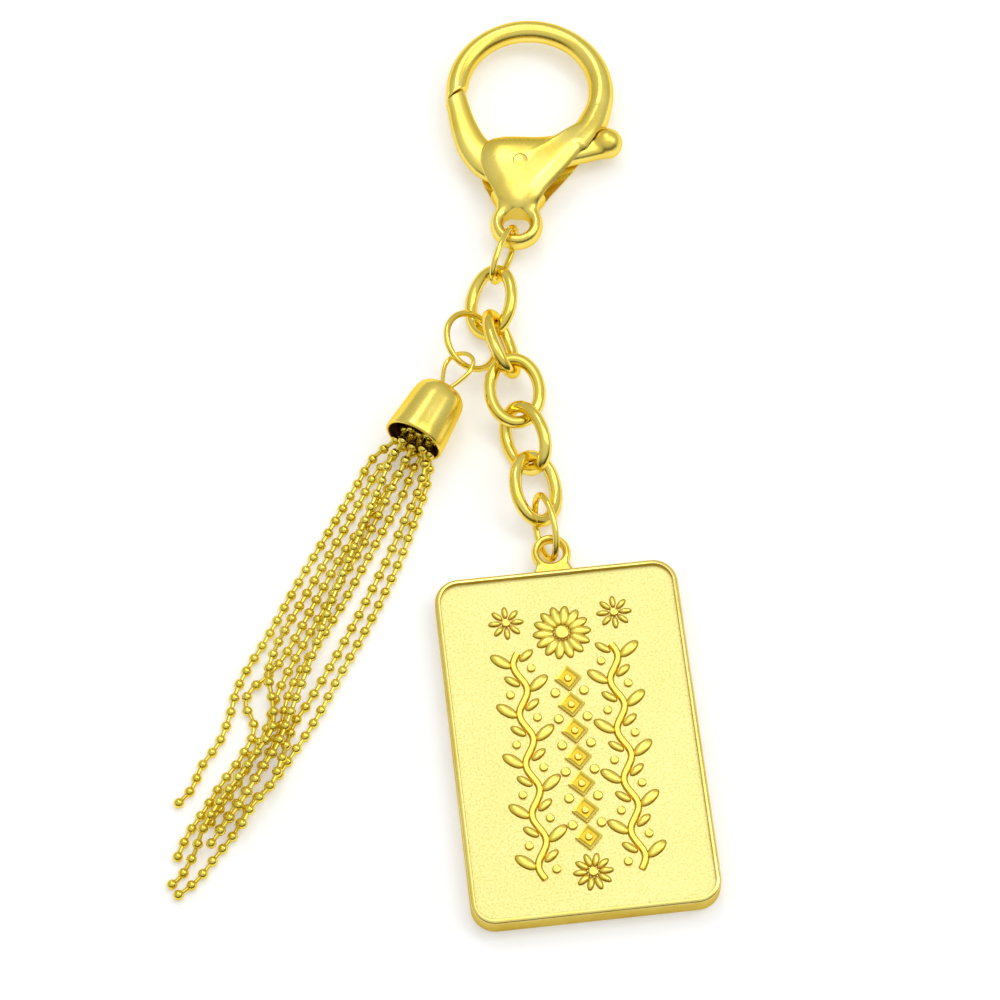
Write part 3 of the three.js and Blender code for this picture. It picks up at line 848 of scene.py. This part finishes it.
class KEYCHAIN_OT_cap(bpy.types.Operator):
    """Turns the tassel's drawn cap"""

    bl_idname = "keychain.cap"
    bl_label = "Tassel cap"

    def execute(self, context):
        piece = start(
            bpy.ops.mesh.primitive_circle_add, vertices=len(CAP_PROFILE), radius=MM, fill_type="NOTHING"
        )
        for vertex, (radius, along) in zip(piece.data.vertices, CAP_PROFILE):
            vertex.co = (radius * MM, along * MM, 0)
        edit(piece)
        bpy.ops.mesh.spin(steps=72, angle=2 * math.pi, center=(0, 0, 0), axis=(0, 1, 0))
        leave_edit()
        merge_and_face_out(piece)
        # The faces that turn to the axis, the cap's inside, take its painted shade
        inner = [face.index for face in piece.data.polygons if self.faces_axis(face)]
        lay(piece, CAP_PLACE, 50)
        hand_over(piece, "cap", "tassel", "gold_polished", "cast_plating", "tassel_cap")
        piece.data.materials.append(finish_named("cap_lining"))
        for index in inner:
            piece.data.polygons[index].material_index = 1
        return {"FINISHED"}

    def faces_axis(self, face):
        outwards = Vector((face.center.x, 0, face.center.z)).normalized()
        return face.normal.dot(outwards) < -0.2


class KEYCHAIN_OT_eye(bpy.types.Operator):
    """Bends the wire eye between the ring and the cap"""

    bl_idname = "keychain.eye"
    bl_label = "Tassel eye wire"

    def execute(self, context):
        corners = [*EYE_HALF, EYE_TOP, *[(-x, y) for x, y in reversed(EYE_HALF)]]
        spots = smooth_route([(x * MM, y * MM, 0) for x, y in corners], per_span=10)
        piece = wire_along(spots, EYE_WIRE * MM, sides=4)
        lay(piece, EYE_PLACE)
        hand_over(piece, "eye_wire", "tassel", "gold_polished", "polished_plating", "tassel_eye_wire")
        return {"FINISHED"}


# Chain
def oval_link(half_width, half_length, wire, seam_degrees):
    """A bent wire oval with its two ends butted at a narrow seam."""
    select_only()
    bpy.ops.curve.primitive_bezier_circle_add(radius=1, enter_editmode=True)
    bpy.ops.curve.handle_type_set(type="ALIGNED")
    bpy.ops.transform.resize(value=(half_width, half_length, 1))
    leave_edit()
    curve = bpy.context.object.data
    curve.dimensions = "3D"
    curve.resolution_u = 18
    curve.bevel_depth = wire
    curve.bevel_resolution = 6
    bpy.ops.object.convert(target="MESH")
    piece = bpy.context.object
    angle = math.radians(seam_degrees)
    seam = Vector((half_width * math.cos(angle), half_length * math.sin(angle), 0))
    along = Vector((-half_width * math.sin(angle), half_length * math.cos(angle), 0)).normalized()
    gap = SEAM_HALF * MM

    def from_seam(face):
        return face.calc_center_median() - seam

    def in_seam(face):
        return from_seam(face).length < 2 * wire and abs(from_seam(face).dot(along)) < 0.9 * gap

    edit(piece)
    face_out()
    for side in (-1, 1):
        pick_faces(piece, lambda face: from_seam(face).length < 3 * wire)
        bpy.ops.mesh.bisect(plane_co=seam + along * side * gap, plane_no=along)
    bpy.ops.mesh.select_mode(type="FACE")
    pick_faces(piece, in_seam)
    bpy.ops.mesh.delete(type="FACE")
    bpy.ops.mesh.select_mode(type="EDGE")
    bpy.ops.mesh.select_all(action="DESELECT")
    bpy.ops.mesh.select_non_manifold()
    bpy.ops.mesh.fill_holes(sides=0)
    leave_edit()
    return piece


class KEYCHAIN_OT_chain_links(bpy.types.Operator):
    """Bends the oval chain links and lays each on its neighbours"""

    bl_idname = "keychain.chain_links"
    bl_label = "Chain links"

    def execute(self, context):
        size_of = sizes()
        wire = size_of.link_wire
        model = oval_link(size_of.link_width / 2 - wire, size_of.link_length / 2 - wire, wire, LINK_SEAM)
        for number, place in enumerate(LINK_PLACES, 1):
            piece = copy_of(model)
            lay(piece, place)
            name = f"oval_link_{number}"
            body = f"link_{number}"
            hand_over(piece, name, body, "gold_polished", "polished_plating", f"chain_link_{number}")
        bpy.data.objects.remove(model)
        return {"FINISHED"}


class KEYCHAIN_OT_jump_links(bpy.types.Operator):
    """Bends the thin jump links and the tassel ring"""

    bl_idname = "keychain.jump_links"
    bl_label = "Jump links and tassel ring"

    def execute(self, context):
        size_of = sizes()
        wire = size_of.jump_wire
        oval = (size_of.jump_width / 2 - wire, size_of.jump_length / 2 - wire)
        ring = (size_of.ring_radius, size_of.ring_radius)
        rows = [
            ("jump_link_top", oval, TOP_SEAM, TOP_JUMP_PLACE, "top_link", "top_jump_link"),
            ("jump_link_bottom", oval, BOTTOM_SEAM, BOTTOM_JUMP_PLACE, "bottom_link", "bottom_jump_link"),
            ("small_ring", ring, RING_SEAM, RING_PLACE, "ring", "tassel_ring"),
        ]
        for name, halves, seam, place, body, node in rows:
            piece = oval_link(*halves, wire, seam)
            lay(piece, place)
            hand_over(piece, name, body, "gold_polished", "polished_plating", node)
        return {"FINISHED"}


# Clasp
def slit_block(side):
    """A block on one side of the slit between bow and gate."""
    block = start(bpy.ops.mesh.primitive_cube_add, size=1)
    block.matrix_world = (
        Matrix.Translation((SLIT[0] * MM, SLIT[1] * MM, 0))
        @ Matrix.Rotation(SLIT_ANGLE, 4, "Z")
        @ Matrix.Translation((0, side * (SLIT_BLOCK - SLIT_GAP) / 2 * MM, 0))
        @ Matrix.Diagonal((SLIT_BLOCK * MM, SLIT_BLOCK * MM, THROUGH * MM, 1))
    )
    apply_place(block)
    return block


def upright_rod(spot, radius, length, sides=48):
    return start(
        bpy.ops.mesh.primitive_cylinder_add,
        vertices=sides, radius=radius * MM, depth=length * MM, location=(spot[0] * MM, spot[1] * MM, 0),
    )


def ball_at(spot, radius):
    return start(
        bpy.ops.mesh.primitive_uv_sphere_add,
        segments=40, ring_count=24, radius=radius * MM, location=(spot[0] * MM, spot[1] * MM, 0),
    )


def flat_bar(stations):
    """A bar with a domed section that follows its stations and changes width on the way."""
    top = LEVER_THICK / 2
    power = 2 / LEVER_FULLNESS
    rings = []
    stations = smooth_route(stations, per_span=5)
    for i, (x, y, half) in enumerate(stations):
        before = stations[max(i - 1, 0)]
        after = stations[min(i + 1, len(stations) - 1)]
        along = Vector((after[0] - before[0], after[1] - before[1])).normalized()
        ring = []
        for step in range(SECTION_POINTS):
            turn = 2 * math.pi * step / SECTION_POINTS
            across = half * math.copysign(abs(math.cos(turn)) ** power, math.cos(turn))
            up = top * math.copysign(abs(math.sin(turn)) ** power, math.sin(turn))
            ring.append(Vector((x - along.y * across, y + along.x * across, up)) * MM)
        rings.append(ring)
    return loft(rings)


class KEYCHAIN_OT_clasp_body(bpy.types.Operator):
    """Casts the clasp's bow, cheeks and eyelet as one piece"""

    bl_idname = "keychain.clasp_body"
    bl_label = "Clasp body"

    def execute(self, context):
        bow = self.bow()
        cut_away(bow, slit_block(-1))
        piece = join(bow, self.cheeks(), self.eyelet())
        smooth_casting(piece, voxel=0.16, fillet=1.4, passes=20)
        slot = loft([[Vector((x, y, z)) * MM for x, y in SLOT_OUTLINE] for z in (-SLOT_HALF, SLOT_HALF)])
        notch = ball_at(THUMB, THUMB_RADIUS + THUMB_ROOM)
        pin_hole = upright_rod(PIVOT, CHEEK_BORE, THROUGH)
        eye_hole = upright_rod(EYELET, EYELET_BORE, THROUGH)
        cut_away(piece, slot, notch, pin_hole, eye_hole)
        lay(piece, CLASP_PLACE, 35)
        hand_over(piece, "clasp_casting", "clasp", "gold_polished", "cast_plating", "clasp_body")
        return {"FINISHED"}

    def bow(self):
        size_of = sizes()
        spots = []
        swells = []
        for degrees in range(BOW_START, BOW_END - 1, -BOW_STEP):
            turn = math.radians(degrees)
            spots.append(Vector((math.cos(turn), math.sin(turn), 0)) * size_of.bow_radius)
            swells.append(max(0.0, (SWELL_START - degrees) / (SWELL_START - BOW_END)))
        per_span = 6
        corners = [spots[-3], spots[-1], *(Vector(spot) * MM for spot in BOW_TAIL)]
        tail = smooth_route(corners, per_span)[per_span + 1:]
        for i, spot in enumerate(tail):
            spots.append(spot)
            swells.append(1 + TAIL_SWELL * (i + 1) / len(tail))
        widths = [1 + SWELL * swell * MM / size_of.bow_wire for swell in swells]
        return wire_along(spots, size_of.bow_wire, 6, widths)

    def cheeks(self):
        outline = smooth_route([(x, y, 0) for x, y in CHEEK_OUTLINE], per_span=6, closed=True)
        middle = Vector((*PIVOT, 0))
        levels = smooth_route([(*row, 0) for row in CHEEK_LEVELS], per_span=4)
        dome = [(height, scale) for height, scale, _ in levels]
        below = [(-height, scale) for height, scale in reversed(dome)]
        rings = []
        for height, scale in below + dome:
            lift = Vector((0, 0, height))
            rings.append([(middle + (spot - middle) * scale + lift) * MM for spot in outline])
        return loft(rings)

    def eyelet(self):
        return start(
            bpy.ops.mesh.primitive_torus_add, (1, 1, EYELET_STRETCH), major_segments=64, minor_segments=20,
            major_radius=EYELET_RING * MM, minor_radius=EYELET_WALL * MM,
            location=(EYELET[0] * MM, EYELET[1] * MM, 0),
        )


class KEYCHAIN_OT_clasp_lever(bpy.types.Operator):
    """Casts the sprung lever: gate, hub, thumb arm and ball"""

    bl_idname = "keychain.clasp_lever"
    bl_label = "Clasp lever"

    def execute(self, context):
        gate = flat_bar(GATE_STATIONS)
        arm = flat_bar(ARM_STATIONS)
        hub = upright_rod(PIVOT, HUB_RADIUS, LEVER_THICK)
        piece = join(gate, arm, hub, ball_at(THUMB, THUMB_RADIUS))
        smooth_casting(piece, voxel=0.15, fillet=0.8, passes=10)
        cut_away(piece, slit_block(1), upright_rod(PIVOT, HUB_BORE, THROUGH))
        lay(piece, CLASP_PLACE, 35)
        hand_over(piece, "lever_casting", "lever", "gold_satin", "lever_plating", "clasp_lever")
        return {"FINISHED"}


class KEYCHAIN_OT_clasp_pin(bpy.types.Operator):
    """Turns the pivot pin with its slightly rounded ends"""

    bl_idname = "keychain.clasp_pin"
    bl_label = "Clasp pivot pin"

    def execute(self, context):
        piece = upright_rod(PIVOT, PIN_RADIUS, PIN_LENGTH, sides=40)
        edit(piece)
        pick_edges(piece, lambda edge: edge.calc_face_angle(0) > CREASE)
        bpy.ops.mesh.bevel(offset=PIN_ROUND * MM, segments=3)
        leave_edit()
        lay(piece, CLASP_PLACE)
        hand_over(piece, "pivot_pin", "clasp", "gold_polished", "cast_plating", "clasp_pivot_pin")
        return {"FINISHED"}


class KEYCHAIN_OT_clasp_spring(bpy.types.Operator):
    """Winds the lever's return spring"""

    bl_idname = "keychain.clasp_spring"
    bl_label = "Clasp spring"

    def execute(self, context):
        spots = []
        for i in range(round(SPRING_TURNS * STEPS_PER_TURN) + 1):
            turns = i / STEPS_PER_TURN
            across = SPRING_ACROSS + SPRING_RADIUS * math.cos(2 * math.pi * turns)
            up = SPRING_RADIUS * math.sin(2 * math.pi * turns)
            spots.append(Vector((across, SPRING_START + SPRING_PITCH * turns, up)) * MM)
        piece = wire_along(spots, SPRING_WIRE * MM, sides=2)
        lay(piece, CLASP_PLACE)
        hand_over(piece, "return_spring", "clasp", "spring_steel", "coil_steel", "clasp_spring")
        turn = place_matrix(CLASP_PLACE)
        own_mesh(piece)
        return {"FINISHED"}


# Plaque
class KEYCHAIN_OT_plaque(bpy.types.Operator):
    """Casts the plaque: rounded plate, raised rim, sunk field and bail"""

    bl_idname = "keychain.plaque"
    bl_label = "Plaque"

    def execute(self, context):
        size_of = sizes()
        plate = self.plate(size_of)
        bail = self.bail(size_of)
        add_modifier(plate, "BOOLEAN", operation="UNION", solver="EXACT", object=bail)
        bpy.data.objects.remove(bail)
        shade(plate, 35)
        first, *others = PLAQUE_FINISHES
        hand_over(plate, "plaque_casting", "plaque", "gold_satin", first, "amulet_plaque")
        for name in others:
            plate.data.materials.append(finish_named(name))
        for face in plate.data.polygons:
            face.material_index = self.slot_of(face)
        return {"FINISHED"}

    def slot_of(self, face):
        """The material slot of a face, by its place and the way it faces."""
        if abs(face.center.y) > sizes().plaque_length / 2 + LEVEL:
            return BAIL_SLOT
        if face.normal.z > 0.9 and abs(face.center.z - field_level()) < LEVEL:
            return FIELD_SLOT
        if abs(face.normal.z) > 0.6:
            return RIM_SLOT
        # Outward sides take the side's painted shade, and inward walls the groove's painted shade
        outward = face.normal.x * face.center.x + face.normal.y * face.center.y
        return SIDE_SHADE_SLOT if outward > 0 else GROOVE_SHADE_SLOT

    def plate(self, size_of):
        scale = (size_of.plaque_width, size_of.plaque_length, 1)
        piece = start(bpy.ops.mesh.primitive_plane_add, scale, size=1)
        thick = size_of.plaque_thick
        top = thick - LEVEL
        edit(piece)
        bpy.ops.mesh.bevel(offset=PLAQUE_CORNER * MM, affect="VERTICES", segments=14)
        bpy.ops.mesh.select_all(action="SELECT")
        bpy.ops.mesh.extrude_region_move(TRANSFORM_OT_translate={"value": (0, 0, thick)})
        face_out()
        self.round_creases(piece, lambda z: z > top, size_of.plaque_round, 6)
        bpy.ops.mesh.select_mode(type="FACE")
        pick_faces(piece, lambda face: face.normal.z > 0.99 and face.calc_center_median().z > top)
        bpy.ops.mesh.inset(thickness=size_of.plaque_rim - size_of.plaque_round)
        bpy.ops.mesh.extrude_region_move(TRANSFORM_OT_translate={"value": (0, 0, -size_of.plaque_recess)})
        face_out()
        self.round_creases(piece, lambda z: z > top, INNER_ROUND * MM, 3)
        self.round_creases(piece, lambda z: z < LEVEL, BACK_ROUND * MM, 4)
        leave_edit()
        return piece

    def round_creases(self, piece, at_height, radius, segments):
        """Rounds, in edit mode, the sharp edges that lie at a height."""
        def sharp(edge):
            return edge.calc_face_angle(0) > CREASE and all(at_height(v.co.z) for v in edge.verts)

        pick_edges(piece, sharp)
        bpy.ops.mesh.bevel(offset=radius, segments=segments, profile=0.5)

    def bail(self, size_of):
        middle = size_of.plaque_length / 2 + BAIL_OUT * MM
        loop = start(
            bpy.ops.mesh.primitive_torus_add, (1, 1, BAIL_STRETCH), major_segments=56, minor_segments=18,
            major_radius=BAIL_RING * MM, minor_radius=BAIL_WALL * MM,
            location=(0, middle, BAIL_HEIGHT * MM),
        )
        rings = []
        for along, half, tall in BAIL_FOOT:
            low = BAIL_HEIGHT - tall / 2
            high = BAIL_HEIGHT + tall / 2
            corners = ((half, low), (half, high), (-half, high), (-half, low))
            rings.append([Vector((x * MM, middle + along * MM, z * MM)) for x, z in corners])
        piece = join(loop, loft(rings))
        smooth_casting(piece, voxel=0.12, fillet=0.7, passes=6)
        return piece


class KEYCHAIN_OT_relief(bpy.types.Operator):
    """Raises the ornament on the plaque's field: rosettes, a chain of lozenges, and leafy stems"""

    bl_idname = "keychain.relief"
    bl_label = "Plaque relief"

    def execute(self, context):
        self.parts = []
        self.level = field_level() - RELIEF_SINK * MM
        self.petal = self.petal_model()
        self.disc = self.disc_model()
        self.lozenge = self.lozenge_model()
        self.rosette(*TOP_ROSETTE)
        self.rosette(*FOOT_ROSETTE)
        for row in range(LOZENGE_ROWS):
            y = LOZENGE_TOP - LOZENGE_PITCH * row
            self.copy(self.lozenge, 0, y)
            self.copy(self.disc, 0, y, scale=CENTRE_DOT)
        for row in range(LOZENGE_ROWS - 1):
            for side in (-1, 1):
                self.copy(self.disc, side * DOT_ACROSS, DOT_TOP - LOZENGE_PITCH * row, scale=SIDE_DOT)
        for side in (-1, 1):
            across, *others = SIDE_ROSETTE
            self.rosette(side * across, *others)
            self.stem(side)
        for model in (self.petal, self.disc, self.lozenge):
            bpy.data.objects.remove(model)
        piece = join(*self.parts)
        self.paint_relief_light(piece)
        shade(piece, 45)
        hand_over(piece, "relief", "plaque", "gold_satin", "relief_plating")
        return {"FINISHED"}

    def paint_relief_light(self, piece):
        """Writes on each point its painted light: how far it stands up and faces up or towards the lamps,
        from 0, painted shade at the foot, to 1, a painted highlight on the crown.
        """
        marks = piece.data.attributes.new(LIT_SHARE_ATTRIBUTE, "FLOAT", "POINT")
        for vertex, mark in zip(piece.data.vertices, marks.data):
            height = min(max((vertex.co.z - self.level) / (FOOT_SHADE_HEIGHT * MM), 0), 1)
            # Slopes towards the lamps count as lit, which paints light and shade by direction
            facing = min(max(vertex.normal.z + LAMP_SIDE_LEAN * vertex.normal.y, 0), 1)
            mark.value = height * facing

    def copy(self, model, x, y, degrees=0, scale=1):
        piece = copy_of(model)
        piece.matrix_world = (
            Matrix.Translation((x * MM, y * MM, self.level))
            @ Matrix.Rotation(math.radians(degrees), 4, "Z")
            @ Matrix.Diagonal((scale, scale, 1, 1))
        )
        apply_place(piece)
        self.parts.append(piece)

    def rosette(self, x, y, radius, petals):
        reach = radius * PETAL_REACH
        for i in range(petals):
            turn = 360 * i / petals
            out = Vector((math.cos(math.radians(turn)), math.sin(math.radians(turn)))) * reach
            self.copy(self.petal, x + out.x, y + out.y, turn, radius / PETAL_SPAN)
        self.copy(self.disc, x, y, scale=radius / DISC_SPAN)

    def stem(self, side):
        """A waving stem with leaves and a berry at every bend."""
        x = side * STEM_ACROSS
        steps = STEPS_PER_BEND * STEM_BENDS
        bend_length = (STEM_HIGH - STEM_LOW) / STEM_BENDS
        spots = []
        for i in range(steps + 1):
            rise = (STEM_HIGH - STEM_LOW) * i / steps
            wave = side * STEM_WAVE * math.sin(math.pi * rise / bend_length)
            spots.append(Vector((x + wave, STEM_LOW + rise, 0)))
        self.ridge(spots)
        for bend in range(STEM_BENDS):
            y = STEM_LOW + bend_length * (bend + 0.5)
            way = side if bend % 2 == 0 else -side
            for across, along, lean, scale in STEM_LEAVES:
                self.copy(self.petal, x + way * across, y + along, 90 + way * lean, scale)
            across, along, lean, scale = STEM_BERRY
            self.copy(self.disc, x + way * across, y + along, lean, scale)

    def petal_model(self):
        piece = start(
            bpy.ops.mesh.primitive_uv_sphere_add, PETAL_SHAPE, segments=16, ring_count=10, radius=MM
        )
        edit(piece)
        bpy.ops.mesh.bisect(plane_co=(0, 0, 0), plane_no=(0, 0, 1), use_fill=True, clear_inner=True)
        leave_edit()
        return piece

    def disc_model(self):
        height = DISC_HEIGHT * MM
        piece = start(
            bpy.ops.mesh.primitive_cylinder_add,
            vertices=20, radius=DISC_RADIUS * MM, depth=height, location=(0, 0, height / 2),
        )
        edit(piece)
        pick_edges(piece, lambda edge: all(v.co.z > height / 2 for v in edge.verts))
        bpy.ops.mesh.bevel(offset=DISC_ROUND * MM, segments=3)
        leave_edit()
        return piece

    def lozenge_model(self):
        height = LOZENGE_HEIGHT * MM
        piece = start(
            bpy.ops.mesh.primitive_cylinder_add, (LOZENGE_WIDTH, LOZENGE_LENGTH, 1),
            vertices=4, radius=MM / 2, depth=height, location=(0, 0, height / 2),
        )
        edit(piece)
        bpy.ops.mesh.select_mode(type="FACE")
        pick_faces(piece, lambda face: face.normal.z > 0.9)
        bpy.ops.mesh.inset(thickness=LOZENGE_FRAME * MM)
        bpy.ops.transform.translate(value=(0, 0, -LOZENGE_SINK * MM))

        def upper_crease(edge):
            above_foot = max(v.co.z for v in edge.verts) > LOZENGE_FOOT * MM
            return above_foot and edge.calc_face_angle(0) > SLIGHT_CREASE

        pick_edges(piece, upper_crease)
        bpy.ops.mesh.bevel(offset=LOZENGE_ROUND * MM, segments=2)
        leave_edit()
        return piece

    def ridge(self, spots):
        """A raised line with sloping sides."""
        rings = []
        last = len(spots) - 1
        lift = Vector((0, 0, self.level))
        for i, spot in enumerate(spots):
            along = (spots[min(i + 1, last)] - spots[max(i - 1, 0)]).normalized()
            side = Vector((-along.y, along.x, 0))
            rings.append([
                (spot + side * across + Vector((0, 0, up))) * MM + lift for across, up in RIDGE_SECTION
            ])
        self.parts.append(loft(rings))


class KEYCHAIN_PT_panel(bpy.types.Panel):
    """Lists the keychain's sizes, colours and steps"""

    bl_idname = "KEYCHAIN_PT_panel"
    bl_label = "Amulet keychain"
    bl_space_type = "VIEW_3D"
    bl_region_type = "UI"
    bl_category = "Keychain"

    def draw(self, context):
        for step in STEPS:
            self.layout.operator(step.bl_idname)
        for group in (context.scene.keychain_sizes, context.scene.keychain_colours):
            box = self.layout.box()
            for key in group.bl_rna.properties.keys():
                if key not in ("rna_type", "name"):
                    box.prop(group, key)


STEPS = (
    KEYCHAIN_OT_stage,
    KEYCHAIN_OT_strands,
    KEYCHAIN_OT_cap,
    KEYCHAIN_OT_eye,
    KEYCHAIN_OT_chain_links,
    KEYCHAIN_OT_jump_links,
    KEYCHAIN_OT_clasp_body,
    KEYCHAIN_OT_clasp_lever,
    KEYCHAIN_OT_clasp_pin,
    KEYCHAIN_OT_clasp_spring,
    KEYCHAIN_OT_plaque,
    KEYCHAIN_OT_relief,
)
CLASSES = (KEYCHAIN_PG_sizes, KEYCHAIN_PG_colours, *STEPS, KEYCHAIN_PT_panel)


def register():
    for entry in CLASSES:
        bpy.utils.register_class(entry)
    bpy.types.Scene.keychain_sizes = bpy.props.PointerProperty(type=KEYCHAIN_PG_sizes)
    bpy.types.Scene.keychain_colours = bpy.props.PointerProperty(type=KEYCHAIN_PG_colours)


def unregister():
    del bpy.types.Scene.keychain_colours
    del bpy.types.Scene.keychain_sizes
    for entry in reversed(CLASSES):
        bpy.utils.unregister_class(entry)


def main():
    register()
    bpy.ops.keychain.stage()
    bpy.ops.keychain.strands()
    bpy.ops.keychain.cap()
    bpy.ops.keychain.eye()
    bpy.ops.keychain.chain_links()
    bpy.ops.keychain.jump_links()
    bpy.ops.keychain.clasp_body()
    bpy.ops.keychain.clasp_lever()
    bpy.ops.keychain.clasp_pin()
    bpy.ops.keychain.clasp_spring()
    bpy.ops.keychain.plaque()
    bpy.ops.keychain.relief()


if __name__ == "__main__":
    main()
